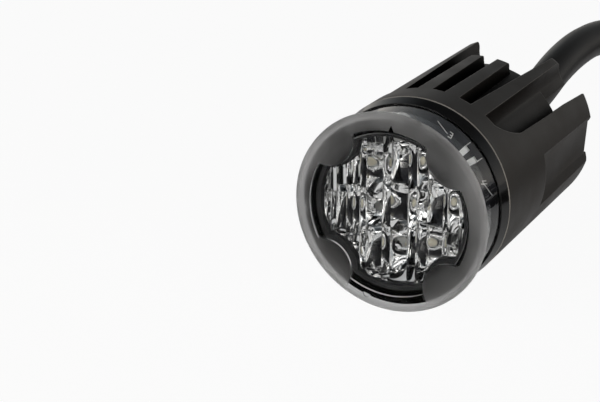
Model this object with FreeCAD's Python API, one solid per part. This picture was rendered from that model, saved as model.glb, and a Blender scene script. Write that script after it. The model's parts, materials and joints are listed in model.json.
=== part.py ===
import FreeCAD, Part
import math
import os

# Hide-away strobe lamp head: clear flanged lens, fluted collimator, emitter board,
# finned die-cast housing with a crown of prongs, and its cable with a coil and connector.
# Millimetres. The lamp faces -Y, +Z is up, and y = 0 is the housing's front face on the axis.

# Outer lens
flange_diameter = 32.0
flange_depth = 1.7
flange_nose = 0.9
flange_rear_round = 0.4
barrel_diameter = 29.6
groove_length = 8.5
lens_wall = 2.2
window_wall = 1.4
window_radius = 13.3
window_sink = 0.35
scallop_radius = 4.5
scallop_circle = 29.8
scallop_count = 4
scallop_angle = 45.0
spigot_wall = 0.8
spigot_depth = 1.4
nub_angles = (15.0, 82.0, 195.0, 262.0)
nub_radius = 0.6
nub_inset = 0.85

# Seal bead at the foot of the lens
seal_height = 2.0
seal_front_width = 0.2
seal_rear_inset = 0.03

# Housing
housing_diameter = 31.0
housing_draft = 0.015
housing_edge = 0.25
clocking = 3.7
collar_length = 5.0
core_diameter = 25.6
core_length = 29.0
core_edge = 0.8
crown_diameter = 22.0
lens_seat_depth = 1.5
cavity_diameter = 18.0
rear_wall = 3.0

# Fins and prongs of the housing, measured across the vertical plane of symmetry
middle_slot = 2.0
short_fin_thickness = 2.5
short_fin_end = 26.0
short_fin_draft = 0.015
fin_lean = 0.55
side_slot = 2.0
long_fin_end = 37.4
long_fin_draft = 0.039
long_fin_angle = 31.5
valley_angle = 46.0
valley_hollow = 0.75
prong_end = 37.8
prong_reach = 12.2
prong_pivot = 3.0
prong_front_half = 16.2
prong_neck_half = 9.6
prong_neck = 10.8
prong_flare = 1.8
prong_rear_half = 8.0
prong_round = 1.4
fin_round = 1.0
long_fin_round = 1.8
channel_floor = 13.9
channel_half = 2.9
channel_slope = 2.2
channel_offset = 0.6
channel_front = 15.5
channel_end_relief = 0.8

# Emitter board and what it carries
board_thickness = 1.6
board_clearance = 0.2
pad_thickness = 0.3
emitter_count = 6
emitter_circle = 15.2
emitter_angle = 18.0
emitter_width = 2.2
emitter_height = 0.7
dome_radius = 0.9
resistor_length = 1.3
resistor_width = 0.9
resistor_height = 0.5
resistor_inset = 2.0
resistor_spread = 10.0
leg_angle = 48.0
leg_circle = 17.6
leg_diameter = 1.2
screw_angle = 108.0
screw_inset = 2.0
screw_diameter = 1.8
screw_length = 6.0
screw_head_diameter = 3.6
screw_head_height = 1.2
screw_count = 3

# Collimator with vertical flutes
optic_diameter = 23.8
optic_inset = 0.6
optic_gap = 0.6
flute_widths = (
    1.35, 1.0, 1.7, 1.15, 1.15, 1.05, 2.75, 1.45,
    2.85, 1.4, 1.8, 2.6, 0.7, 1.9, 0.9, 0.75,
)
flute_rise = 0.65
flute_steepness = 0.3
plate_thickness = 1.4
cup_mouth_diameter = 8.0
cup_foot_diameter = 3.8
cup_pocket_diameter = 2.6
cup_pocket_depth = 1.4
cup_clearance = 0.2
frame_clearance = 0.1

# Driver board in the housing
driver_length = 20.0
driver_front = 3.5
driver_thickness = 1.2
driver_clearance = 0.2
inductor_diameter = 6.4
inductor_height = 4.2
inductor_groove = 0.5
inductor_place = 10.5
capacitor_diameter = 4.0
capacitor_height = 5.0
capacitor_place = 18.2
capacitor_pitch = 9.4
chip_sizes = ((5.0, 4.0), (4.0, 5.0))
chip_places = (8.5, 16.0)
chip_height = 1.2
lead_diameter = 1.2
lead_pitch = 7.4
lead_tail = 3.5

# Cable, its gland and its cores
cable_diameter = 6.4
core_wire_diameter = 1.3
core_wire_pitch = 2.6
core_wire_tail = 4.5
gland_neck_diameter = 8.8
gland_flange_diameter = 12.4
gland_flange_thickness = 1.4
gland_tail_diameter = 8.0
gland_tail_length = 4.6
fit = 0.05
arc_share = 0.45

# Cable route, coil and connector
cable_route = [
    (0.0, 24.6, 0.0),
    (0.0, 44.0, 0.0),
    (-0.8, 63.8, 4.4),
    (0.6, 79.0, 3.8),
    (6.0, 92.2, 0.8),
    (15.7, 102.7, -4.0),
    (28.4, 109.2, -8.2),
    (42.5, 111.4, -10.6),
]
coil_lead = 12.0
coil_centre = (67.4, 73.4)
coil_start_radius = 38.6
coil_turn_step = 6.5
coil_turns = 2.0
coil_rise_turns = 0.2
coil_slack = 0.3
tie_width = 4.0
tie_thickness = 1.2
tie_clearance = 0.25
tie_angle = 270.0
tie_head = 5.0
tail_run = 14.0
plug_length = 22.0
plug_width = 13.0
plug_height = 9.0
plug_round = 1.5
plug_seal_length = 5.0
plug_seal_diameter = 8.4
terminal_hole_depth = 14.0
terminal_recess = 3.0
terminal_diameter = 1.6
terminal_pitch = 2.7
terminal_count = 4
lock_length = 11.0
lock_width = 4.0
lock_height = 1.2

# Values that follow from the sizes above
origin = FreeCAD.Vector(0, 0, 0)
along = FreeCAD.Vector(0, 1, 0)
up = FreeCAD.Vector(0, 0, 1)
flange_radius = flange_diameter / 2
barrel_radius = barrel_diameter / 2
bore_radius = barrel_radius - lens_wall
spigot_radius = bore_radius + spigot_wall
lens_front = -(groove_length + flange_depth)
window_back = lens_front + window_sink + window_wall
housing_radius = housing_diameter / 2
core_radius = core_diameter / 2
crown_radius = crown_diameter / 2
cavity_radius = cavity_diameter / 2
cavity_end = core_length - rear_wall
board_back = lens_seat_depth - pad_thickness
board_front = board_back - board_thickness
board_radius = bore_radius - board_clearance
screw_ring = board_radius - screw_inset
resistor_ring = board_radius - resistor_inset
optic_crest = window_back + optic_gap
optic_valley = optic_crest + flute_rise
plate_back = optic_valley + plate_thickness
cable_radius = cable_diameter / 2
gland_front = cavity_end - gland_flange_thickness
floor_level = -flange_radius
ring_half = cable_radius + coil_slack
coil_level = floor_level + tie_thickness + fit + ring_half
ring_outer = coil_start_radius + ring_half
ring_inner = coil_start_radius - coil_turn_step * coil_turns - ring_half
plug_level = coil_level + ring_half + fit + plug_height / 2


def outline(corners):
    """A closed face; an entry that holds two points is an arc, by a point on it and its end."""
    edges = []
    here = corners[0]
    for corner in corners[1:] + [corners[0]]:
        if isinstance(corner, tuple):
            edges.append(Part.Arc(here, corner[0], corner[1]).toShape())
            here = corner[1]
        elif not here.isEqual(corner, 1e-6):
            edges.append(Part.makeLine(here, corner))
            here = corner
    return Part.Face(Part.Wire(edges))


def at(radius, y):
    """A point of a turned profile."""
    return FreeCAD.Vector(radius, y, 0)


def polar(radius, angle, y=0.0):
    """A point at an angle from the top, turning towards +X."""
    turn = math.radians(angle)
    return FreeCAD.Vector(radius * math.sin(turn), y, radius * math.cos(turn))


def turned(corners):
    return outline(corners).revolve(origin, along, 360)


def rod(centre, radius, start, end):
    """A round bar along Y; the centre gives its x and z."""
    base = FreeCAD.Vector(centre.x, start, centre.z)
    return Part.makeCylinder(radius, end - start, base, along)


def block(x0, x1, y0, y1, z0, z1):
    return Part.makeBox(x1 - x0, y1 - y0, z1 - z0, FreeCAD.Vector(x0, y0, z0))


def spun(shape, angle):
    """A copy turned about the lamp's axis."""
    copy = shape.copy()
    copy.rotate(origin, along, angle)
    return copy


def ring_of(count, first_angle):
    return [first_angle + 360.0 * index / count for index in range(count)]


def joined(shapes):
    return shapes[0].multiFuse(shapes[1:]).removeSplitter()


def export(name, shape):
    shape.exportStep("parts/" + name + ".step")


def lobed_prism(radius, scallop, start, end):
    """The window's outline, a disc with four round bites on its diagonals, as a prism along Y."""
    disc = rod(origin, radius, start, end)
    bites = []
    for angle in ring_of(scallop_count, scallop_angle):
        bites.append(rod(polar(scallop_circle / 2, angle), scallop, start, end))
    return disc.cut(bites)


def make_outer_lens():
    nose = flange_nose
    nose_mid = nose * math.sqrt(0.5)
    rear = -groove_length
    body = turned([
        at(0, lens_front),
        at(flange_radius - nose, lens_front),
        (at(flange_radius - nose + nose_mid, lens_front + nose - nose_mid),
         at(flange_radius, lens_front + nose)),
        at(flange_radius - flange_rear_round, rear),
        at(barrel_radius, rear),
        at(barrel_radius, 0),
        at(spigot_radius, 0),
        at(spigot_radius, spigot_depth),
        at(bore_radius, spigot_depth),
        at(bore_radius, window_back),
        at(0, window_back),
    ])
    window = lobed_prism(window_radius, scallop_radius, lens_front - window_sink, lens_front + window_sink)
    nubs = []
    for angle in nub_angles:
        foot = polar(flange_radius - flange_rear_round - nub_inset, angle)
        nubs.append(rod(foot, nub_radius, rear - nub_radius / 2, rear + nub_radius))
    return joined([body.cut(window)] + nubs)


def make_seal_ring():
    inner = barrel_radius + fit
    return turned([
        at(inner, -seal_height),
        at(inner + seal_front_width, -seal_height),
        at(housing_radius - seal_rear_inset, 0),
        at(inner, 0),
    ])


def housing_wall(y):
    """Radius of the drafted outer surface."""
    return housing_radius - housing_draft * y


def envelope(end, corner, lean):
    """What a fin of that length may fill: the outer form with a rounded rear edge and a leaning rear."""
    rim = housing_wall(end)
    inset = corner * (1 - math.sqrt(0.5))
    return turned([
        at(crown_radius, 0),
        at(housing_radius, 0),
        at(housing_wall(end - corner), end - corner),
        (at(rim - inset, end - inset), at(rim - corner, end)),
        at(crown_radius, end + lean * (rim - corner - crown_radius)),
    ])


def drafted_bar(inner, outer, inner_draft, outer_draft, end):
    """A bar along Y standing on the axis plane, whose sides lean by their drafts from the collar back."""
    run = end - collar_length
    plan = outline([
        at(inner, collar_length / 2),
        at(outer, collar_length / 2),
        at(outer, collar_length),
        at(outer + outer_draft * run, end),
        at(inner + inner_draft * run, end),
        at(inner, collar_length),
    ])
    return plan.extrude(up * housing_diameter)


def make_short_fin():
    inner = middle_slot / 2
    outer = inner + short_fin_thickness
    bar = drafted_bar(inner, outer, short_fin_draft, -short_fin_draft, core_length)
    return bar.common(envelope(short_fin_end, fin_round, fin_lean))


def make_long_fin():
    """A long prong with a flat inner side and a hollow outer side that runs into the valley."""
    inner = middle_slot / 2 + short_fin_thickness + side_slot
    lip = polar(housing_radius, long_fin_angle, collar_length / 2)
    foot = polar(core_radius - core_edge / 2, valley_angle, collar_length / 2)
    chord = (foot - lip).normalize()
    middle = (lip + foot) * 0.5 + FreeCAD.Vector(chord.z, 0, -chord.x) * valley_hollow
    inner_foot = FreeCAD.Vector(inner / 2, lip.y, crown_radius / 2)
    section = outline([
        inner_foot,
        FreeCAD.Vector(inner / 2, lip.y, housing_diameter),
        polar(housing_diameter, long_fin_angle, lip.y),
        lip,
        (middle, foot),
        polar(crown_radius / 2, valley_angle, lip.y),
    ])
    fin = section.extrude(along * prong_end).common(envelope(long_fin_end, long_fin_round, fin_lean))
    clear_side = drafted_bar(0, inner, 0, long_fin_draft, prong_end + collar_length)
    collar_end = rod(origin, housing_diameter, -collar_length, collar_length)
    return fin.cut(clear_side.cut(collar_end))


def make_side_prong():
    """The broad prong of one side: flanks that run inwards, a flared root and a shallow channel."""
    root = collar_length / 2
    flare = (collar_length + prong_neck - prong_flare) / 2
    flare_half = (prong_front_half + prong_neck_half) / 2 - prong_flare
    round_mid = prong_round * (1 - math.sqrt(0.5))
    tip = prong_end - prong_round

    def plan(x):
        """The prong's outline at a distance from the axis, narrowing to nothing at the pivot."""
        share = (x - prong_pivot) / (prong_reach - prong_pivot)

        def side(y, half, sign):
            return FreeCAD.Vector(x, y, sign * half * share)

        return outline([
            side(root, prong_front_half, 1),
            side(collar_length, prong_front_half, 1),
            (side(flare, flare_half, 1), side(prong_neck, prong_neck_half, 1)),
            side(tip, prong_rear_half, 1),
            (side(prong_end - round_mid, prong_rear_half - round_mid, 1),
             side(prong_end, prong_rear_half - prong_round, 1)),
            side(prong_end, prong_rear_half - prong_round, -1),
            (side(prong_end - round_mid, prong_rear_half - round_mid, -1),
             side(tip, prong_rear_half, -1)),
            side(prong_neck, prong_neck_half, -1),
            (side(flare, flare_half, -1), side(collar_length, prong_front_half, -1)),
            side(root, prong_front_half, -1),
        ]).OuterWire

    wedge = Part.makeLoft([plan(crown_radius / 2), plan(housing_diameter)], True, True)
    prong = wedge.common(envelope(prong_end, fin_round, 0))
    reach = housing_diameter - channel_floor
    spread = channel_half + channel_slope * reach
    channel = outline([
        FreeCAD.Vector(channel_floor, channel_front, channel_offset + channel_half),
        FreeCAD.Vector(channel_floor + reach, channel_front, channel_offset + spread),
        FreeCAD.Vector(channel_floor + reach, channel_front, channel_offset - spread),
        FreeCAD.Vector(channel_floor, channel_front, channel_offset - channel_half),
    ]).extrude(along * prong_end)
    relief_start = prong_end - channel_end_relief
    low = channel_offset - channel_half
    relief = block(0, housing_diameter, relief_start, 2 * prong_end, low, channel_offset + channel_half)
    return prong.cut([channel, relief])


def make_housing():
    mid = core_edge * (1 - math.sqrt(0.5))
    body = turned([
        at(0, 0),
        at(housing_radius - housing_edge, 0),
        at(housing_radius, housing_edge),
        at(housing_wall(collar_length), collar_length),
        at(core_radius, collar_length),
        at(core_radius, core_length - core_edge),
        (at(core_radius - mid, core_length - mid), at(core_radius - core_edge, core_length)),
        at(0, core_length),
    ])
    short_fin = make_short_fin()
    long_fin = make_long_fin()
    across = FreeCAD.Vector(1, 0, 0)
    fins = []
    for fin in (short_fin, long_fin):
        for turn in (0, 180):
            fins.append(spun(fin, turn))
            fins.append(spun(fin.mirror(origin, across), turn))
    prong = make_side_prong()
    solid = spun(joined([body] + fins + [prong, spun(prong, 180)]), clocking)
    cuts = [
        rod(origin, spigot_radius + fit, -collar_length, lens_seat_depth),
        rod(origin, cavity_radius, 0, cavity_end),
        rod(origin, gland_neck_diameter / 2 + fit, 0, 2 * core_length),
    ]
    return solid.cut(cuts + screw_holes(0, board_front + screw_length + fit))


def screw_holes(start, end):
    holes = []
    for angle in ring_of(screw_count, screw_angle):
        holes.append(rod(polar(screw_ring, angle), screw_diameter / 2 + fit, start, end))
    return holes


def emitter_centres():
    """One emitter on the axis and the rest on a ring round it."""
    return [origin] + [polar(emitter_circle / 2, angle) for angle in ring_of(emitter_count, emitter_angle)]


def lead_centres():
    level = driver_thickness / 2 + lead_diameter / 2
    return [FreeCAD.Vector(sign * lead_pitch / 2, 0, level) for sign in (-1, 1)]


def make_led_board():
    disc = rod(origin, board_radius, board_front, board_back)
    holes = screw_holes(board_front, board_back)
    for centre in lead_centres():
        holes.append(rod(centre, lead_diameter / 2 + fit, board_front, board_back))
    return disc.cut(holes)


def make_thermal_pad():
    disc = rod(origin, board_radius, board_back, lens_seat_depth)
    opening = rod(origin, cavity_radius, board_back, lens_seat_depth)
    return disc.cut([opening] + screw_holes(board_back, lens_seat_depth))


def make_board_screws():
    screws = []
    for angle in ring_of(screw_count, screw_angle):
        centre = polar(screw_ring, angle)
        head = rod(centre, screw_head_diameter / 2, board_front - screw_head_height, board_front)
        shank = rod(centre, screw_diameter / 2, board_front, board_front + screw_length)
        screws.append(head.fuse(shank).removeSplitter())
    return Part.makeCompound(screws)


def make_led_emitters():
    half = emitter_width / 2
    top = board_front - emitter_height
    emitters = []
    for centre in emitter_centres():
        base = block(-half, half, top, board_front, -half, half)
        base.translate(centre)
        ball = Part.makeSphere(dome_radius, FreeCAD.Vector(centre.x, top, centre.z))
        dome = ball.common(rod(centre, emitter_width, top - dome_radius, top))
        emitters.append(base.fuse(dome))
    return Part.makeCompound(emitters)


def make_chip_resistors():
    chips = []
    for middle in ring_of(screw_count, leg_angle):
        for side in (-1, 1):
            chip = block(
                -resistor_width / 2, resistor_width / 2,
                board_front - resistor_height, board_front,
                resistor_ring - resistor_length / 2, resistor_ring + resistor_length / 2,
            )
            chips.append(spun(chip, middle + side * resistor_spread / 2))
    return Part.makeCompound(chips)


def make_optic_block():
    """Fluted front plate on conical cups, one over each emitter, and three legs."""
    half = sum(flute_widths) / 2
    corners = [at(-half, plate_back), at(-half, optic_valley)]
    left = -half
    for width in flute_widths:
        crest = optic_valley - min(flute_rise, flute_steepness * width)
        corners.append((at(left + width / 2, crest), at(left + width, optic_valley)))
        left += width
    corners.append(at(half, plate_back))
    fluted = outline(corners).extrude(up * optic_diameter)
    fluted.translate(up * (-optic_diameter / 2))
    limit = lobed_prism(optic_diameter / 2, scallop_radius + optic_inset, optic_crest, board_front)
    foot = board_front - emitter_height - cup_clearance
    pieces = [fluted]
    pockets = []
    for centre in emitter_centres():
        mouth_end = FreeCAD.Vector(centre.x, plate_back - plate_thickness / 2, centre.z)
        cup = Part.makeCone(
            cup_mouth_diameter / 2, cup_foot_diameter / 2, foot - mouth_end.y, mouth_end, along,
        )
        pieces.append(cup)
        pockets.append(rod(centre, cup_pocket_diameter / 2, foot - cup_pocket_depth, foot))
    for angle in ring_of(screw_count, leg_angle):
        pieces.append(rod(polar(leg_circle / 2, angle), leg_diameter / 2, optic_valley, board_front))
    return joined(pieces).common(limit).cut(pockets)


def make_optic_frame():
    """Black frame that fills the space round the collimator's plate, behind the window."""
    start = window_back + fit
    hole_radius = optic_diameter / 2 + frame_clearance
    hole = lobed_prism(hole_radius, scallop_radius + optic_inset - frame_clearance, start, plate_back)
    return rod(origin, board_radius, start, plate_back).cut(hole)


def make_driver_board():
    half = math.sqrt(cavity_radius ** 2 - (driver_thickness / 2) ** 2) - driver_clearance
    return block(
        -half, half, driver_front, driver_front + driver_length, -driver_thickness / 2, driver_thickness / 2,
    )


def make_driver_inductor():
    base = FreeCAD.Vector(0, inductor_place, driver_thickness / 2)
    drum = Part.makeCylinder(inductor_diameter / 2, inductor_height, base, up)
    groove_base = base + up * (inductor_height / 4)
    groove = Part.makeCylinder(inductor_diameter / 2, inductor_height / 2, groove_base, up)
    winding = Part.makeCylinder(inductor_diameter / 2 - inductor_groove, inductor_height / 2, groove_base, up)
    return drum.cut(groove.cut(winding))


def make_driver_capacitors():
    cans = []
    for side in (-1, 1):
        base = FreeCAD.Vector(side * capacitor_pitch / 2, capacitor_place, driver_thickness / 2)
        cans.append(Part.makeCylinder(capacitor_diameter / 2, capacitor_height, base, up))
    return Part.makeCompound(cans)


def make_driver_chips():
    chips = []
    for (width, length), place in zip(chip_sizes, chip_places):
        top = -driver_thickness / 2
        chips.append(block(
            -width / 2, width / 2, place - length / 2, place + length / 2, top - chip_height, top,
        ))
    return Part.makeCompound(chips)


def make_lead_wires():
    wires = []
    for centre in lead_centres():
        wires.append(rod(centre, lead_diameter / 2, board_front, driver_front + lead_tail))
    return Part.makeCompound(wires)


def make_cable_cores():
    level = driver_thickness / 2 + core_wire_diameter / 2
    start = driver_front + driver_length - core_wire_tail
    cores = []
    for side in (-1, 1):
        for face in (-1, 1):
            centre = FreeCAD.Vector(side * core_wire_pitch / 2, 0, face * level)
            cores.append(rod(centre, core_wire_diameter / 2, start, gland_front))
    return Part.makeCompound(cores)


def make_cable_gland():
    bore = cable_radius + fit
    flange = gland_flange_diameter / 2
    shoulder = core_length + gland_flange_thickness
    return turned([
        at(bore, gland_front),
        at(flange, gland_front),
        at(flange, cavity_end),
        at(gland_neck_diameter / 2, cavity_end),
        at(gland_neck_diameter / 2, core_length),
        at(flange, core_length),
        at(flange, shoulder),
        at(flange - gland_flange_thickness, shoulder),
        at(gland_tail_diameter / 2, shoulder + gland_tail_length),
        at(bore, shoulder + gland_tail_length),
    ])


def tube(points, radius):
    """A round tube along straight runs joined by the largest tangent arcs that the runs allow."""
    edges = []
    here = points[0]
    radii = []
    for before, corner, after in zip(points, points[1:], points[2:]):
        back = before - corner
        ahead = after - corner
        setback = arc_share * min(back.Length, ahead.Length)
        half_turn = (math.pi - back.getAngle(ahead)) / 2
        radii.append(setback / math.tan(half_turn))
        back.normalize()
        ahead.normalize()
        inwards = (back + ahead).normalize()
        to_middle = radii[-1] / math.cos(half_turn) - radii[-1]
        start = corner + back * setback
        end = corner + ahead * setback
        edges.append(Part.makeLine(here, start))
        edges.append(Part.Arc(start, corner + inwards * to_middle, end).toShape())
        here = end
    edges.append(Part.makeLine(here, points[-1]))
    path = Part.Wire(edges)
    section = Part.Wire(Part.makeCircle(radius, points[0], points[1] - points[0]))
    body = path.makePipeShell([section], True, True)
    print("tube radii", [round(value, 1) for value in radii], "length", round(path.Length, 1))
    plain_volume = path.Length * math.pi * radius ** 2
    print("tube volume over section times length", round(body.Volume / plain_volume, 4))
    return body


def make_cable():
    return tube([FreeCAD.Vector(*point) for point in cable_route], cable_radius)


def coil_point(turns, level):
    """A point on the coil's spiral, which starts behind the lamp and winds inwards."""
    radius = coil_start_radius - coil_turn_step * turns
    turn = math.radians(90.0 - 360.0 * turns)
    x = coil_centre[0] + radius * math.cos(turn)
    y = coil_centre[1] + radius * math.sin(turn)
    return FreeCAD.Vector(x, y, level)


def tail_end():
    end = coil_point(coil_turns, plug_level)
    return FreeCAD.Vector(end.x + tail_run, end.y, end.z)


def make_cable_coil():
    """Outer shape of the coiled length, with its lead-in and the tail that rises to the connector."""
    axis = FreeCAD.Vector(coil_centre[0], coil_centre[1], coil_level)

    def side(radius, level):
        return axis + FreeCAD.Vector(radius, 0, level)

    ring = outline([
        side(ring_inner + ring_half, -ring_half),
        side(ring_outer - ring_half, -ring_half),
        (side(ring_outer, 0), side(ring_outer - ring_half, ring_half)),
        side(ring_inner + ring_half, ring_half),
        (side(ring_inner, 0), side(ring_inner + ring_half, -ring_half)),
    ]).revolve(axis, up, 360)
    entry = FreeCAD.Vector(*cable_route[-1])
    heading = (entry - FreeCAD.Vector(*cable_route[-2])).normalize()
    lead_in = tube([entry, entry + heading * coil_lead, coil_point(0, coil_level)], cable_radius)
    climb = coil_turns - coil_rise_turns
    middle = coil_turns - coil_rise_turns / 2
    tail = tube([
        coil_point(climb, coil_level),
        coil_point(middle, (coil_level + plug_level) / 2),
        coil_point(coil_turns, plug_level),
        tail_end(),
    ], cable_radius)
    return joined([ring, lead_in, tail])


def make_coil_tie():
    """A strap round the coil's section, with its head on top."""
    inner = ring_inner - tie_clearance
    outer = ring_outer + tie_clearance
    half = ring_half + fit
    grip = block(inner, outer, -tie_width, tie_width, -half, half)
    strap = block(
        inner - tie_thickness, outer + tie_thickness, -tie_width / 2, tie_width / 2,
        -half - tie_thickness, half + tie_thickness,
    )
    middle = (inner + outer) / 2
    head = block(
        middle - tie_head / 2, middle + tie_head / 2, -tie_head / 2, tie_head / 2,
        half + tie_thickness, half + 3 * tie_thickness,
    )
    tie = joined([strap.cut(grip), head])
    tie.rotate(origin, up, tie_angle)
    tie.translate(FreeCAD.Vector(coil_centre[0], coil_centre[1], coil_level))
    return tie


def plug_block(x0, x1, width, height):
    """A block along X on the connector's axis, measured from the end of the cable."""
    end = tail_end()
    return block(
        end.x + x0, end.x + x1, end.y - width / 2, end.y + width / 2, end.z - height / 2, end.z + height / 2,
    )


def plug_rod(x0, x1, offset, radius):
    base = tail_end() + FreeCAD.Vector(x0, offset, 0)
    return Part.makeCylinder(radius, x1 - x0, base, FreeCAD.Vector(1, 0, 0))


def make_connector_seal():
    return plug_rod(0, plug_seal_length, 0, plug_seal_diameter / 2)


def terminal_rods(front, clearance):
    """One rod for each terminal, from the bottom of its hole to a distance behind the front face."""
    end = plug_seal_length + plug_length
    rods = []
    for index in range(terminal_count):
        offset = (index - (terminal_count - 1) / 2) * terminal_pitch
        radius = terminal_diameter / 2 + clearance
        rods.append(plug_rod(end - terminal_hole_depth, end - front, offset, radius))
    return rods


def make_connector_body():
    shell = plug_block(plug_seal_length, plug_seal_length + plug_length, plug_width, plug_height)
    long_edges = [edge for edge in shell.Edges if abs(edge.tangentAt(0).x) > 0.9]
    return shell.makeFillet(plug_round, long_edges).cut(terminal_rods(0, fit))


def make_connector_terminals():
    return Part.makeCompound(terminal_rods(terminal_recess, 0))


def make_connector_lock():
    end = tail_end()
    top = end.z + plug_height / 2
    front = end.x + plug_seal_length + plug_length
    arm = outline([
        FreeCAD.Vector(front - lock_length, end.y - lock_width / 2, top),
        FreeCAD.Vector(front, end.y - lock_width / 2, top),
        FreeCAD.Vector(front, end.y - lock_width / 2, top + lock_height / 2),
        FreeCAD.Vector(front - lock_length / 3, end.y - lock_width / 2, top + lock_height),
        FreeCAD.Vector(front - lock_length, end.y - lock_width / 2, top + lock_height),
    ])
    return arm.extrude(along * lock_width)


os.makedirs("parts", exist_ok=True)
export("outer_lens", make_outer_lens())
export("optic_block", make_optic_block())
export("optic_frame", make_optic_frame())
export("seal_ring", make_seal_ring())
export("housing", make_housing())
export("led_board", make_led_board())
export("led_emitters", make_led_emitters())
export("chip_resistors", make_chip_resistors())
export("board_screws", make_board_screws())
export("thermal_pad", make_thermal_pad())
export("driver_board", make_driver_board())
export("driver_inductor", make_driver_inductor())
export("driver_capacitors", make_driver_capacitors())
export("driver_chips", make_driver_chips())
export("lead_wires", make_lead_wires())
export("cable_cores", make_cable_cores())
export("cable_gland", make_cable_gland())
export("cable", make_cable())
export("cable_coil", make_cable_coil())
export("coil_tie", make_coil_tie())
export("connector_seal", make_connector_seal())
export("connector_body", make_connector_body())
export("connector_terminals", make_connector_terminals())
export("connector_lock", make_connector_lock())
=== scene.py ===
import json
import math

import bmesh
import bpy
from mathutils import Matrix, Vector


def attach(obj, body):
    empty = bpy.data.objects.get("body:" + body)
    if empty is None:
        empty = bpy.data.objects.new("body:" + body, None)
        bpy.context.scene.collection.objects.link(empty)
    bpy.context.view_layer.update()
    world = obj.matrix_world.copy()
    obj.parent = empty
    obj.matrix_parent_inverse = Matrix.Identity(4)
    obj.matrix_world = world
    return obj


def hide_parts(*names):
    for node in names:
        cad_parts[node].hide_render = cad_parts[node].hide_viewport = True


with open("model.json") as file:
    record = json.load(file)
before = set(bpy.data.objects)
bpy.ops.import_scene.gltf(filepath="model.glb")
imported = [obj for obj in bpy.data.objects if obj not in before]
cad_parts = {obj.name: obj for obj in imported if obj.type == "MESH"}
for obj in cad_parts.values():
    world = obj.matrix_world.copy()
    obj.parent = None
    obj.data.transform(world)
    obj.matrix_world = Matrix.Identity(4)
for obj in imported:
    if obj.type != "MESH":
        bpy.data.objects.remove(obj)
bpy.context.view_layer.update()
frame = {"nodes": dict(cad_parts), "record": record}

# The lamp shines along -Y with +Z up. Sizes are millimetres, turned into metres by MM.
MM = 0.001
nodes = frame["nodes"]
slot_of = {row["node"]: row["material_slot"] for row in frame["record"]["subparts"]}

# The photograph's camera
camera_place = (112.81, -246.19, 107.81)
camera_forward = (-0.44146, 0.81533, -0.37464)
camera_lens = 112.84
camera_sensor = 36.0
camera_near = 10.0

# Lens, measured as in the CAD model, and the margin that keeps a mask clear of a face's own edge
lens_front = -10.2
window_sink = 0.35
window_radius = 13.3
scallop_radius = 4.5
scallop_reach = 14.9
barrel_radius = 14.8
flange_radius = 16.0
mask_margin = 0.05

# Frost round the window: its edge, its depth past the sunk window, and the white haze in it by radius
frost_fade = 0.3
frost_depth = 0.15
haze_start = 10.693
rim_start = 15.2
haze_least = 0.01
haze_at_rim = 0.25
haze_rim_gain = 0.1

# Gate mark at the top of the window: its middle, its tip, and its half width over its height
gate_middle = 0.3
gate_tip = 14.3
gate_slope = 0.42

# Painted highlight along the housing's front edge: the radius it starts at, and its middle and half along
# the axis
lip_highlight_radius = 15.15
lip_highlight_middle = 0.1
lip_highlight_half = 0.17

# Frame round the collimator: where its outer edge starts, how far that is filled out, and on which side
frame_edge = 12.35
frame_reach = 12.75
frame_turn = 3.0

# Collimator
optic_radius = 11.9
optic_bite = 5.1
optic_bite_start = 0.4 * optic_radius
optic_edge = 11.8
optic_valley = -7.2
plate_level = -5.8
cup_foot = -1.3
cup_mouth = -6.5
cup_foot_radius = 1.9
cup_mouth_radius = 4.5
pocket_radius = 1.3
pocket_depth = 0.85
pocket_flatness = 6
emitter_ring = 7.6
emitter_count = 6
emitter_angle = 18.0
emitter_top = -1.1
leg_ring = 8.8
leg_angle = 48.0
leg_count = 3
leg_radius = 0.6
flute_widths = (
    1.35, 1.0, 1.7, 1.15, 1.15, 1.05, 2.75, 1.45,
    2.85, 1.4, 1.8, 2.6, 0.7, 1.9, 0.9, 0.75,
)
flute_rise = 0.65
flute_steepness = 0.3

# Fineness of the collimator's grid, and the angle past which its edges are sharp
flute_step = 0.17
flute_least_steps = 6
optic_steps = 150
optic_sharp_angle = 35.0

# A copied mesh's points that are nearer than this become one
weld_distance = 0.0001

# Board with white print. A stroke is its middle across and outwards, then its half sizes.
board_level = -0.4
print_depth = 0.1
resistor_angle = 48.0
resistor_pairs = 3
tick_strokes = (
    (-1.35, 11.4, 0.06, 0.55),
    (1.35, 11.4, 0.06, 0.55),
    (-5.3, 9.6, 1.1, 0.06),
    (5.3, 9.6, 1.1, 0.06),
)
numeral_three_angle = 27.0
numeral_three = (
    (0.0, 11.03, 0.3, 0.07),
    (0.08, 10.6, 0.17, 0.07),
    (0.0, 10.17, 0.3, 0.07),
    (0.25, 10.6, 0.07, 0.5),
)
numeral_four_angle = 72.0
numeral_four = (
    (0.2, 10.6, 0.07, 0.5),
    (0.0, 10.5, 0.34, 0.07),
    (-0.25, 10.8, 0.07, 0.3),
)

# Cable: its route as in the CAD model, then a coil of two turns behind the lamp.
cable_diameter = 6.4
cable_route = [
    (0.0, 24.6, 0.0),
    (0.0, 44.0, 0.0),
    (-0.8, 63.8, 3.9),
    (0.4, 80.0, 4.3),
    (6.0, 92.2, 0.8),
    (15.7, 102.7, -4.0),
    (28.4, 109.2, -8.2),
    (42.5, 111.4, -10.6),
    (54.2, 113.2, -12.6),
]
coil_centre = (67.4, 73.4)
coil_start_radius = 38.6
coil_turn_step = 6.5
coil_turns = 2
coil_points_per_turn = 16
coil_rise_points = 3
coil_level = -11.25
plug_level = -3.2
tail_run = 14.0

# Tie on the coil: its middle from the coil's centre, half of its head, and how far its sides are drawn in
tie_middle = 32.1
tie_head_half = 2.6
tie_tuck = 3.5

# Floor, and the share of its own white that the camera sees and that shows in gloss and glass
floor_level = -16.0
floor_half = 3000.0
floor_colour = (0.86, 0.86, 0.86, 1.0)
floor_glow_seen = 0.94
floor_glow_gloss = 0.35

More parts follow.
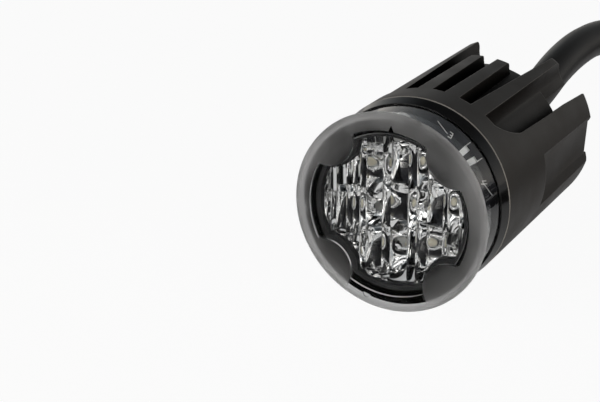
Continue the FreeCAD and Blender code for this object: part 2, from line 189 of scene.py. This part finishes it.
# World: its strength on dull faces at the horizon and overhead, on those behind glass, and overhead in gloss
soft_light = 0.50
soft_ceiling = 0.12
glass_light = 2.5
ceiling_gloss = 0.05
horizon_height = 0.05
ceiling_height = 0.7
horizon_tint = (1.0, 0.96, 0.90, 1.0)
ceiling_tint = (0.80, 0.91, 1.0, 1.0)
white = (1.0, 1.0, 1.0, 1.0)

# Lamps: place, aim, width, watts and colour
key_lamp = ((-140, -240, 190), (0, 10, 0), 260, 0.32, (1.0, 0.985, 0.96))
side_lamp = ((345, -90, 50), (0, 15, 0), 240, 0.44, (1.0, 0.97, 0.93))

# Noise lies mostly between these two values
mottle_low = 0.3
mottle_high = 0.7


def metres(point):
    return Vector(point) * MM


# Node trees

class Nodes:
    """A node tree with short ways to add to it."""

    def __init__(self, tree):
        self.tree = tree
        tree.nodes.clear()

    def add(self, kind, **settings):
        node = self.tree.nodes.new(kind)
        for key, value in settings.items():
            setattr(node, key, value)
        return node

    def feed(self, socket, value):
        if isinstance(value, bpy.types.NodeSocket):
            self.tree.links.new(value, socket)
        else:
            socket.default_value = value

    def feed_all(self, sockets, values):
        for socket, value in zip(sockets, values):
            self.feed(socket, value)

    def math(self, operation, first, second=0.0, third=0.0):
        node = self.add("ShaderNodeMath", operation=operation)
        self.feed_all(node.inputs, (first, second, third))
        return node.outputs[0]

    def parts(self, vector):
        """The x, y and z of a vector."""
        node = self.add("ShaderNodeSeparateXYZ")
        self.feed(node.inputs[0], vector)
        return node.outputs

    def span(self, value, low, high, start=0.0, end=1.0):
        """Low to high as the value goes from start to end."""
        node = self.add("ShaderNodeMapRange")
        self.feed_all(node.inputs, (value, start, end, low, high))
        return node.outputs["Result"]

    def between(self, factor, first, second):
        """A blend of two numbers."""
        node = self.add("ShaderNodeMix", data_type="FLOAT")
        self.feed_all((node.inputs[0], node.inputs[2], node.inputs[3]), (factor, first, second))
        return node.outputs[0]

    def mixed(self, factor, first, second):
        """A blend of two colours."""
        node = self.add("ShaderNodeMix", data_type="RGBA")
        self.feed_all((node.inputs[0], node.inputs[6], node.inputs[7]), (factor, first, second))
        return node.outputs[2]

    def seen_rays(self):
        """Marks of rays seen directly, and of those seen in gloss or through glass."""
        path = self.add("ShaderNodeLightPath").outputs
        indirect = self.math("MAXIMUM", path["Is Glossy Ray"], path["Is Transmission Ray"])
        return path["Is Camera Ray"], indirect

    def lighting_rays(self):
        """Marks of rays that light a dull face."""
        path = self.add("ShaderNodeLightPath").outputs
        return self.math("GREATER_THAN", path["Diffuse Depth"], 0.5)


class Shader(Nodes):
    """A material's nodes."""

    def __init__(self, name):
        self.material = bpy.data.materials.new(name)
        self.material.use_nodes = True
        super().__init__(self.material.node_tree)
        self.output = self.add("ShaderNodeOutputMaterial")
        self.place = self.add("ShaderNodeTexCoord").outputs["Object"]

    def places(self):
        """The x, y and z of the point, in metres."""
        return self.parts(self.place)

    def length(self, first, second):
        squares = self.math("MULTIPLY_ADD", first, first, self.math("MULTIPLY", second, second))
        return self.math("SQRT", squares)

    def within(self, value, middle, half):
        """1 where the value, in metres, is less than half from the middle, in millimetres."""
        away = self.math("ABSOLUTE", self.math("SUBTRACT", value, middle * MM))
        return self.math("LESS_THAN", away, half * MM)

    def faded(self, value, middle, reach):
        """0 before the middle and 1 after it, or the reverse for a reach below 0, in millimetres."""
        start = (middle - abs(reach)) * MM
        end = (middle + abs(reach)) * MM
        return self.span(value, float(reach < 0), float(reach > 0), start, end)

    def noise(self, scale, detail=3.0, roughness=0.5, place=None):
        node = self.add("ShaderNodeTexNoise")
        self.feed(node.inputs["Vector"], place or self.place)
        node.inputs["Scale"].default_value = scale
        node.inputs["Detail"].default_value = detail
        node.inputs["Roughness"].default_value = roughness
        return node.outputs["Fac"]

    def stretched(self, scale):
        node = self.add("ShaderNodeMapping")
        self.feed(node.inputs["Vector"], self.place)
        node.inputs["Scale"].default_value = scale
        return node.outputs["Vector"]

    def varied(self, mottle, low, high):
        """A number that follows a noise."""
        return self.span(mottle, low, high, mottle_low, mottle_high)

    def two_tone(self, mottle, dark, light):
        """A colour that follows a noise."""
        node = self.add("ShaderNodeValToRGB")
        stops = ((mottle_low, dark), (mottle_high, light))
        for element, (position, colour) in zip(node.color_ramp.elements, stops):
            element.position = position
            element.color = (*colour, 1.0)
        self.feed(node.inputs["Fac"], mottle)
        return node.outputs["Color"]

    def bump(self, height, depth, strength, normal=None):
        """A normal roughened by a height, with the depth in millimetres."""
        node = self.add("ShaderNodeBump")
        node.inputs["Strength"].default_value = strength
        node.inputs["Distance"].default_value = depth * MM
        self.feed(node.inputs["Height"], height)
        if normal is not None:
            self.feed(node.inputs["Normal"], normal)
        return node.outputs["Normal"]

    def soft_edges(self, radius):
        """A normal that rounds the edges off by a radius in millimetres."""
        node = self.add("ShaderNodeBevel", samples=6)
        node.inputs["Radius"].default_value = radius * MM
        return node.outputs["Normal"]

    def facing(self, normal):
        """1 where a normal is the surface's own, less where an edge bends it."""
        node = self.add("ShaderNodeVectorMath", operation="DOT_PRODUCT")
        self.feed(node.inputs[0], normal)
        self.feed(node.inputs[1], self.add("ShaderNodeNewGeometry").outputs["True Normal"])
        return node.outputs["Value"]

    def openness(self, reach, contrast):
        """1 on open faces, less in slots and hollows within a reach in millimetres."""
        node = self.add("ShaderNodeAmbientOcclusion", samples=8)
        node.inputs["Distance"].default_value = reach * MM
        return self.math("POWER", node.outputs["AO"], contrast)

    def principled(self, **sockets):
        node = self.add("ShaderNodeBsdfPrincipled")
        for name, value in sockets.items():
            self.feed(node.inputs[name.replace("_", " ")], value)
        return node.outputs["BSDF"]

    def dull(self, colour):
        node = self.add("ShaderNodeBsdfDiffuse")
        node.inputs["Color"].default_value = colour
        return node.outputs[0]

    def blended(self, factor, first, second):
        """A blend of two surfaces."""
        node = self.add("ShaderNodeMixShader")
        self.feed_all(node.inputs, (factor, first, second))
        return node.outputs[0]

    def finish(self, surface):
        self.tree.links.new(surface, self.output.inputs["Surface"])
        return self.material


# Materials

def cast_black():
    """Satin black die casting: fine grain, faint warm mottling, painted highlights on the edges, a painted
    highlight along the front lip and painted shade in slots and hollows.
    """
    # Pale colour of the painted highlights on the edges
    edge_highlight_colour = (0.15, 0.138, 0.122, 1.0)
    # Pale colour of the painted highlight along the front lip
    lip_highlight_colour = (0.64, 0.60, 0.54, 1.0)
    # Near black of the painted shade in slots and hollows
    hollow_shade_colour = (0.003, 0.0027, 0.0024, 1.0)
    shader = Shader("cast_black")
    mottle = shader.noise(140.0, detail=4.0)
    colour = shader.two_tone(mottle, (0.0125, 0.0105, 0.0088), (0.019, 0.0158, 0.0132))
    edges = shader.soft_edges(0.25)
    # Painted highlight: lighter where the rounded-edge normal turns away from the face's own
    edge_highlight = shader.span(shader.facing(edges), 0.75, 0.0, start=0.80, end=0.99)
    colour = shader.mixed(edge_highlight, colour, edge_highlight_colour)
    # Painted highlight: a pale band along the housing's front lip, beyond its radius and near the front face
    x, y, z = shader.places()
    beyond = shader.math("GREATER_THAN", shader.length(x, z), lip_highlight_radius * MM)
    lip_highlight = shader.math("MULTIPLY", beyond, shader.within(y, lip_highlight_middle, lip_highlight_half))
    bright = shader.math("MULTIPLY", lip_highlight, shader.varied(mottle, 0.6, 1.0))
    colour = shader.mixed(bright, colour, lip_highlight_colour)
    # Painted shade: colour and gloss fall towards near black in slots and hollows
    unshaded_share = shader.openness(7.0, contrast=2.6)
    return shader.finish(shader.principled(
        Base_Color=shader.mixed(unshaded_share, hollow_shade_colour, colour),
        Roughness=shader.varied(mottle, 0.42, 0.54),
        Normal=shader.bump(shader.noise(2600.0, detail=2.0), 0.02, 0.35, edges),
        Specular_IOR_Level=shader.math("MULTIPLY", unshaded_share, 0.22),
    ))


def frost_mask(shader, radius):
    """1 on the flange and outside the window's lobed outline, 0 on the polished faces."""
    x, y, z = shader.places()
    offset = scallop_reach * math.sqrt(0.5) * MM
    across = shader.math("SUBTRACT", shader.math("ABSOLUTE", x), offset)
    rise = shader.math("SUBTRACT", shader.math("ABSOLUTE", z), offset)
    in_bite = shader.faded(shader.length(across, rise), scallop_radius, -frost_fade)
    on_rim = shader.faded(radius, window_radius, frost_fade)
    from_gate = shader.math("ABSOLUTE", shader.math("SUBTRACT", x, gate_middle * MM))
    gate_half = shader.math("MULTIPLY", shader.math("SUBTRACT", gate_tip * MM, z), gate_slope)
    off_gate = shader.math("GREATER_THAN", from_gate, gate_half)
    outside = shader.math("MINIMUM", shader.math("MULTIPLY_ADD", on_rim, off_gate, in_bite), 1.0)
    at_front = shader.math("LESS_THAN", y, (lens_front + window_sink + frost_depth) * MM)
    on_flange = shader.math("GREATER_THAN", radius, (barrel_radius + mask_margin) * MM)
    return shader.math("MAXIMUM", shader.math("MULTIPLY", outside, at_front), on_flange)


def frost_haze(shader, radius):
    """Share of white haze in the frost: more towards the rim, in faint clouds."""
    inner = shader.span(radius, haze_least, haze_at_rim, haze_start * MM, rim_start * MM)
    rim = shader.span(radius, 0.0, haze_rim_gain, rim_start * MM, flange_radius * MM)
    clouds = shader.varied(shader.noise(110.0), 0.45, 1.5)
    return shader.math("MULTIPLY", shader.math("ADD", inner, rim), clouds)


def clear_lens():
    """Clear moulding: polished window and barrel, frosted flange round the window's outline."""
    clear_colour = (0.97, 0.975, 0.98, 1.0)
    frost_colour = (0.52, 0.52, 0.52, 1.0)
    haze_colour = (0.70, 0.70, 0.70, 1.0)
    polish = 0.01
    shader = Shader("clear_lens")
    x, _, z = shader.places()
    radius = shader.length(x, z)
    frosted = frost_mask(shader, radius)
    frost = shader.math("MULTIPLY", frosted, shader.span(shader.noise(900.0), 0.40, 0.52))
    glass = shader.principled(
        Base_Color=shader.mixed(frosted, clear_colour, frost_colour),
        Roughness=shader.math("ADD", frost, polish),
        IOR=1.585,
        Transmission_Weight=1.0,
        Specular_Tint=(0.02, 0.02, 0.02, 1.0),
    )
    haze = shader.math("MULTIPLY", frosted, frost_haze(shader, radius))
    return shader.finish(shader.blended(haze, glass, shader.dull(haze_colour)))


def clear_optic():
    """Clear acrylic with a faint ripple."""
    shader = Shader("clear_optic")
    return shader.finish(shader.principled(
        Base_Color=(0.975, 0.975, 0.965, 1.0),
        Roughness=0.006,
        IOR=1.49,
        Transmission_Weight=1.0,
        Specular_Tint=(0.02, 0.02, 0.02, 1.0),
        Normal=shader.bump(shader.noise(500.0, detail=2.0), 0.01, 0.2),
    ))


def print_mask(shader):
    """1 on the white print: ticks and lines beside each pair of resistors, and two numerals."""
    x, y, z = shader.places()
    radius = shader.length(x, z)
    turn = shader.math("ARCTAN2", x, z)
    pitch = 2 * math.pi / resistor_pairs
    from_pair = shader.math("SUBTRACT", turn, math.radians(resistor_angle) - pitch / 2)
    folded = shader.math("SUBTRACT", shader.math("FLOORED_MODULO", from_pair, pitch), pitch / 2)
    groups = [(folded, tick_strokes)]
    for angle, strokes in ((numeral_three_angle, numeral_three), (numeral_four_angle, numeral_four)):
        groups.append((shader.math("SUBTRACT", turn, math.radians(angle)), strokes))
    marks = 0.0
    for bearing, strokes in groups:
        across = shader.math("MULTIPLY", radius, shader.math("SINE", bearing))
        outwards = shader.math("MULTIPLY", radius, shader.math("COSINE", bearing))
        for middle, reach, half_width, half_height in strokes:
            in_width = shader.within(across, middle, half_width)
            in_height = shader.within(outwards, reach, half_height)
            marks = shader.math("MAXIMUM", marks, shader.math("MULTIPLY", in_width, in_height))
    return shader.math("MULTIPLY", marks, shader.within(y, board_level, print_depth))


def board_black():
    """Black solder mask with white print."""
    print_colour = (0.62, 0.62, 0.6, 1.0)
    shader = Shader("board_black")
    mottle = shader.noise(300.0, detail=4.0)
    mask = shader.two_tone(mottle, (0.006, 0.006, 0.008), (0.012, 0.012, 0.015))
    return shader.finish(shader.principled(
        Base_Color=shader.mixed(print_mask(shader), mask, print_colour),
        Roughness=shader.varied(mottle, 0.28, 0.36),
        Normal=shader.bump(shader.noise(2400.0, detail=2.0), 0.01, 0.3),
        Specular_IOR_Level=0.12,
    ))


def emitter_ceramic():
    """Pale grey package under a cream dome."""
    shader = Shader("emitter_ceramic")
    mottle = shader.noise(900.0)
    package = shader.two_tone(mottle, (0.42, 0.42, 0.41), (0.55, 0.55, 0.53))
    dome = shader.two_tone(mottle, (0.68, 0.63, 0.49), (0.78, 0.73, 0.59))
    y = shader.places()[1]
    on_dome = shader.math("LESS_THAN", y, (emitter_top - mask_margin) * MM)
    return shader.finish(shader.principled(
        Base_Color=shader.mixed(on_dome, package, dome),
        Roughness=shader.span(mottle, 0.2, 0.3),
        Specular_IOR_Level=0.4,
    ))


def cable_jacket():
    """Satin black jacket with fine lengthwise extrusion marks."""
    shader = Shader("cable_jacket")
    mottle = shader.noise(120.0, detail=4.0)
    marks = shader.noise(60.0, detail=5.0, roughness=0.7, place=shader.stretched((14.0, 1.0, 14.0)))
    return shader.finish(shader.principled(
        Base_Color=shader.two_tone(mottle, (0.0072, 0.0065, 0.0058), (0.012, 0.0106, 0.0093)),
        Roughness=shader.varied(mottle, 0.36, 0.46),
        Normal=shader.bump(marks, 0.03, 0.3),
        Specular_IOR_Level=0.2,
    ))


def plain(name, dark, light, rough, metal=0.0, gloss=0.3):
    """A moulded, printed or plated surface with faint mottling and a fine grain."""
    mottle_scale = 300.0
    grain_scale = 2400.0
    rough_change = 0.12
    shader = Shader(name)
    mottle = shader.noise(mottle_scale, detail=4.0)
    grain = shader.noise(grain_scale, detail=2.0)
    return shader.finish(shader.principled(
        Base_Color=shader.two_tone(mottle, dark, light),
        Roughness=shader.varied(mottle, rough * (1 - rough_change), rough * (1 + rough_change)),
        Metallic=metal,
        Normal=shader.bump(grain, 0.01, 0.4, shader.soft_edges(0.12)),
        Specular_IOR_Level=gloss,
    ))


materials = {
    "cast_black": cast_black(),
    "clear_lens": clear_lens(),
    "clear_optic": clear_optic(),
    "cable_jacket": cable_jacket(),
    "seal_black": plain("seal_black", (0.004, 0.004, 0.004), (0.008, 0.0075, 0.007), 0.12),
    "frame_black": plain("frame_black", (0.012, 0.012, 0.012), (0.022, 0.022, 0.022), 0.4, gloss=0.2),
    "board_black": board_black(),
    "emitter_ceramic": emitter_ceramic(),
    "resistor_ceramic": plain("resistor_ceramic", (0.80, 0.80, 0.77), (0.9, 0.9, 0.87), 0.35),
    "screw_steel": plain("screw_steel", (0.42, 0.42, 0.41), (0.6, 0.6, 0.58), 0.32, metal=1.0),
    "thermal_silicone": plain("thermal_silicone", (0.4, 0.43, 0.45), (0.5, 0.53, 0.55), 0.7),
    "driver_laminate": plain("driver_laminate", (0.02, 0.09, 0.04), (0.03, 0.13, 0.06), 0.4),
    "ferrite": plain("ferrite", (0.05, 0.05, 0.05), (0.09, 0.09, 0.09), 0.6),
    "capacitor_can": plain("capacitor_can", (0.6, 0.6, 0.62), (0.75, 0.75, 0.76), 0.28, metal=1.0),
    "chip_epoxy": plain("chip_epoxy", (0.02, 0.02, 0.02), (0.035, 0.035, 0.035), 0.5),
    "lead_insulation": plain("lead_insulation", (0.02, 0.02, 0.02), (0.04, 0.04, 0.04), 0.4),
    "core_insulation": plain("core_insulation", (0.3, 0.3, 0.3), (0.42, 0.42, 0.42), 0.4),
    "gland_rubber": plain("gland_rubber", (0.009, 0.008, 0.008), (0.016, 0.015, 0.014), 0.55),
    "tie_nylon": plain("tie_nylon", (0.012, 0.012, 0.012), (0.022, 0.022, 0.022), 0.4),
    "connector_rubber": plain("connector_rubber", (0.13, 0.13, 0.14), (0.19, 0.19, 0.2), 0.6),
    "connector_plastic": plain("connector_plastic", (0.013, 0.013, 0.013), (0.024, 0.024, 0.024), 0.42),
    "terminal_brass": plain("terminal_brass", (0.6, 0.48, 0.22), (0.74, 0.6, 0.32), 0.3, metal=1.0),
    "lock_plastic": plain("lock_plastic", (0.2, 0.2, 0.2), (0.28, 0.28, 0.28), 0.42),
}


def dress_nodes():
    for name, node in nodes.items():
        node.data.materials.clear()
        node.data.materials.append(materials[slot_of[name]])


# Pieces

def add_piece(name, data, slot, *replaced):
    piece = bpy.data.objects.new(name, data)
    bpy.context.scene.collection.objects.link(piece)
    data.materials.append(materials[slot])
    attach(piece, "root")
    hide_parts(*replaced)
    return piece


def smooth_copy(node, sharp_angle=30.0):
    """A node's own shape with smooth shading between its sharp edges."""
    source = nodes[node].data
    points = [vertex.co for vertex in source.vertices]
    faces = [face.vertices for face in source.polygons]
    mesh = bpy.data.meshes.new(node + "_body")
    mesh.from_pydata(points, [], faces)
    shape = bmesh.new()
    shape.from_mesh(mesh)
    bmesh.ops.remove_doubles(shape, verts=shape.verts, dist=weld_distance * MM)
    shape.to_mesh(mesh)
    shape.free()
    mesh.shade_smooth()
    mesh.set_sharp_from_angle(angle=math.radians(sharp_angle))
    return add_piece(node + "_body", mesh, slot_of[node], node)


def make_frame():
    """The frame round the collimator, filled out to the barrel at the lower left, where it is seen."""
    piece = smooth_copy("optic_frame")
    for vertex in piece.data.vertices:
        radius = math.hypot(vertex.co.x, vertex.co.z)
        if radius > frame_edge * MM and vertex.co.x + vertex.co.z < frame_turn * MM:
            vertex.co.x *= frame_reach * MM / radius
            vertex.co.z *= frame_reach * MM / radius


def spots(ring, first_angle, count):
    """Points spaced evenly on a ring, from an angle that starts at the top and turns towards +X."""
    turns = [math.radians(first_angle + 360.0 * index / count) for index in range(count)]
    return [(ring * math.sin(turn), ring * math.cos(turn)) for turn in turns]


cup_places = [(0.0, 0.0)] + spots(emitter_ring, emitter_angle, emitter_count)
leg_places = spots(leg_ring, leg_angle, leg_count)


def nearest(x, z, places):
    """Distance from a point to the nearest of some places."""
    return min(math.hypot(x - place_x, z - place_z) for place_x, place_z in places)


def optic_reach(x):
    """Half height of the collimator's lobed outline at x."""
    disc = math.sqrt(max(optic_radius ** 2 - x * x, 0.0))
    centre = scallop_reach * math.sqrt(0.5)
    beside = optic_bite ** 2 - (abs(x) - centre) ** 2
    if beside <= 0 or abs(x) < optic_bite_start:
        return disc
    return min(disc, centre - math.sqrt(beside))


def flute_front(column, across):
    """Depth of the fluted front: a round flute of its column's width."""
    width = flute_widths[column]
    rise = min(flute_rise, flute_steepness * width)
    bend = (width * width / 4 + rise * rise) / (2 * rise)
    dome = math.sqrt(bend * bend - across * across) - (bend - rise)
    return optic_valley - dome


def cup_back(x, z):
    """Depth of the rear: a flat plate with a hollow-footed cup over each emitter, and three legs."""
    if nearest(x, z, leg_places) < leg_radius:
        return board_level
    distance = nearest(x, z, cup_places)
    if distance < pocket_radius:
        return cup_foot - pocket_depth * (1.0 - (distance / pocket_radius) ** pocket_flatness)
    if distance < cup_foot_radius:
        return cup_foot
    share = (distance ** 2 - cup_foot_radius ** 2) / (cup_mouth_radius ** 2 - cup_foot_radius ** 2)
    return max(plate_level, cup_foot + (cup_mouth - cup_foot) * share)


def optic_columns():
    """Flute number, x and distance from the flute's middle for each line of the collimator's grid."""
    left = -sum(flute_widths) / 2
    for column, width in enumerate(flute_widths):
        steps = max(flute_least_steps, round(width / flute_step))
        for step in range(steps + 1):
            x = left + width * step / steps
            if abs(x) < optic_edge and (step < steps or column == len(flute_widths) - 1):
                yield column, x, x - left - width / 2
        left += width


def make_optic():
    """The collimator as two curved sheets, fluted front and cupped back, closed round the edge."""
    shape = bmesh.new()
    front = []
    back = []
    for column, x, across in optic_columns():
        reach = optic_reach(x)
        depth = flute_front(column, across)
        levels = [reach * (2.0 * step / optic_steps - 1.0) for step in range(optic_steps + 1)]
        front.append([shape.verts.new(metres((x, depth, z))) for z in levels])
        back.append([shape.verts.new(metres((x, cup_back(x, z), z))) for z in levels])
    for near, far, near_back, far_back in zip(front, front[1:], back, back[1:]):
        for step in range(optic_steps):
            shape.faces.new((near[step], far[step], far[step + 1], near[step + 1]))
            shape.faces.new((near_back[step + 1], far_back[step + 1], far_back[step], near_back[step]))
        for end in (0, optic_steps):
            shape.faces.new((near[end], far[end], far_back[end], near_back[end]))
    for edge, edge_back in ((front[0], back[0]), (front[-1], back[-1])):
        for step in range(optic_steps):
            shape.faces.new((edge[step], edge[step + 1], edge_back[step + 1], edge_back[step]))
    bmesh.ops.recalc_face_normals(shape, faces=shape.faces)
    mesh = bpy.data.meshes.new("collimator")
    shape.to_mesh(mesh)
    shape.free()
    mesh.shade_smooth()
    mesh.set_sharp_from_angle(angle=math.radians(optic_sharp_angle))
    add_piece("collimator", mesh, "clear_optic", "optic_block")


def coil_points():
    """The put-away length: a flat spiral whose last part rises to the connector."""
    total = coil_turns * coil_points_per_turn
    for index in range(total + 1):
        turns = index / coil_points_per_turn
        radius = coil_start_radius - coil_turn_step * turns
        turn = math.radians(90.0 - 360.0 * turns)
        lift = max(0, index - (total - coil_rise_points)) / coil_rise_points
        level = coil_level + (plug_level - coil_level) * lift
        yield coil_centre[0] + radius * math.cos(turn), coil_centre[1] + radius * math.sin(turn), level
    yield coil_centre[0] + tail_run, coil_centre[1] + radius, plug_level


def make_tie():
    """The tie drawn in on both sides, snug on the two turns that pass through it."""
    piece = smooth_copy("coil_tie")
    for vertex in piece.data.vertices:
        from_middle = coil_centre[1] - vertex.co.y / MM - tie_middle
        if abs(from_middle) > tie_head_half:
            vertex.co.y += math.copysign(tie_tuck, from_middle) * MM
    return piece


def make_cable():
    """The cable and its coil as one curve, with the tie and the connector on it."""
    points = cable_route + list(coil_points())
    curve = bpy.data.curves.new("cable_line", "CURVE")
    curve.dimensions = "3D"
    curve.bevel_depth = cable_diameter / 2 * MM
    curve.bevel_resolution = 6
    curve.use_fill_caps = True
    curve.resolution_u = 8
    spline = curve.splines.new("NURBS")
    spline.points.add(len(points) - 1)
    for control, point in zip(spline.points, points):
        control.co = (*metres(point), 1.0)
    spline.order_u = 3
    spline.use_endpoint_u = True
    piece = add_piece("cable_line", curve, "cable_jacket", "cable", "cable_coil")
    fittings = [make_tie()]
    for name in ("connector_seal", "connector_body", "connector_terminals", "connector_lock"):
        fittings.append(nodes[name])
    tuple(metres(cable_route[0]))


# Stage, light and camera

def make_world():
    """White to the camera, a bright horizon under a dim ceiling in gloss and glass, soft light elsewhere."""
    world = bpy.data.worlds.new("studio")
    bpy.context.scene.world = world
    world.use_nodes = True
    sky = Nodes(world.node_tree)
    height = sky.parts(sky.add("ShaderNodeTexCoord").outputs["Generated"])[2]
    horizon = sky.span(height, 1.0, ceiling_gloss, horizon_height, ceiling_height)
    camera_ray, indirect_ray = sky.seen_rays()
    lighting_ray = sky.lighting_rays()
    soft = sky.between(horizon, soft_ceiling, soft_light)
    through = sky.between(lighting_ray, horizon, glass_light)
    level = sky.between(indirect_ray, soft, through)
    tinted = sky.math("SUBTRACT", indirect_ray, lighting_ray)
    tint = sky.mixed(horizon, ceiling_tint, horizon_tint)
    background = sky.add("ShaderNodeBackground")
    sky.feed(background.inputs["Color"], sky.mixed(tinted, white, tint))
    sky.feed(background.inputs["Strength"], sky.math("MAXIMUM", level, camera_ray))
    output = sky.add("ShaderNodeOutputWorld")
    sky.feed(output.inputs["Surface"], background.outputs[0])


def make_floor():
    """A pale floor, mostly its own white to the camera, that keeps a faint shadow."""
    half = floor_half * MM
    corners = [(-half, -half), (half, -half), (half, half), (-half, half)]
    mesh = bpy.data.meshes.new("floor")
    mesh.from_pydata([(x, y, floor_level * MM) for x, y in corners], [], [(0, 1, 2, 3)])
    floor = bpy.data.objects.new("floor", mesh)
    bpy.context.scene.collection.objects.link(floor)
    shader = Shader("floor_white")
    glow = shader.add("ShaderNodeEmission")
    camera_ray, indirect_ray = shader.seen_rays()
    share = shader.math("MULTIPLY", camera_ray, floor_glow_seen)
    share = shader.math("MULTIPLY_ADD", indirect_ray, floor_glow_gloss, share)
    surface = shader.blended(share, shader.dull(floor_colour), glow.outputs[0])
    mesh.materials.append(shader.finish(surface))


def make_light(name, place, target, width, watts, colour):
    lamp = bpy.data.lights.new(name, "AREA")
    lamp.shape = "DISK"
    lamp.size = width * MM
    lamp.energy = watts
    lamp.color = colour
    light = bpy.data.objects.new(name, lamp)
    bpy.context.scene.collection.objects.link(light)
    light.location = metres(place)
    aim = metres(target) - light.location
    light.rotation_euler = aim.to_track_quat("-Z", "Y").to_euler()


def make_camera():
    data = bpy.data.cameras.new("camera")
    data.lens = camera_lens
    data.sensor_width = camera_sensor
    data.clip_start = camera_near * MM
    camera = bpy.data.objects.new("camera", data)
    bpy.context.scene.collection.objects.link(camera)
    camera.location = metres(camera_place)
    camera.rotation_euler = Vector(camera_forward).to_track_quat("-Z", "Y").to_euler()
    bpy.context.scene.camera = camera


make_camera()
make_world()
make_floor()
make_light("key", *key_lamp)
make_light("side", *side_lamp)
bpy.context.scene.view_settings.view_transform = "Standard"
dress_nodes()
make_cable()
make_optic()
make_frame()
for node_name in ("outer_lens", "housing", "seal_ring", "led_emitters", "cable_gland"):
    smooth_copy(node_name)
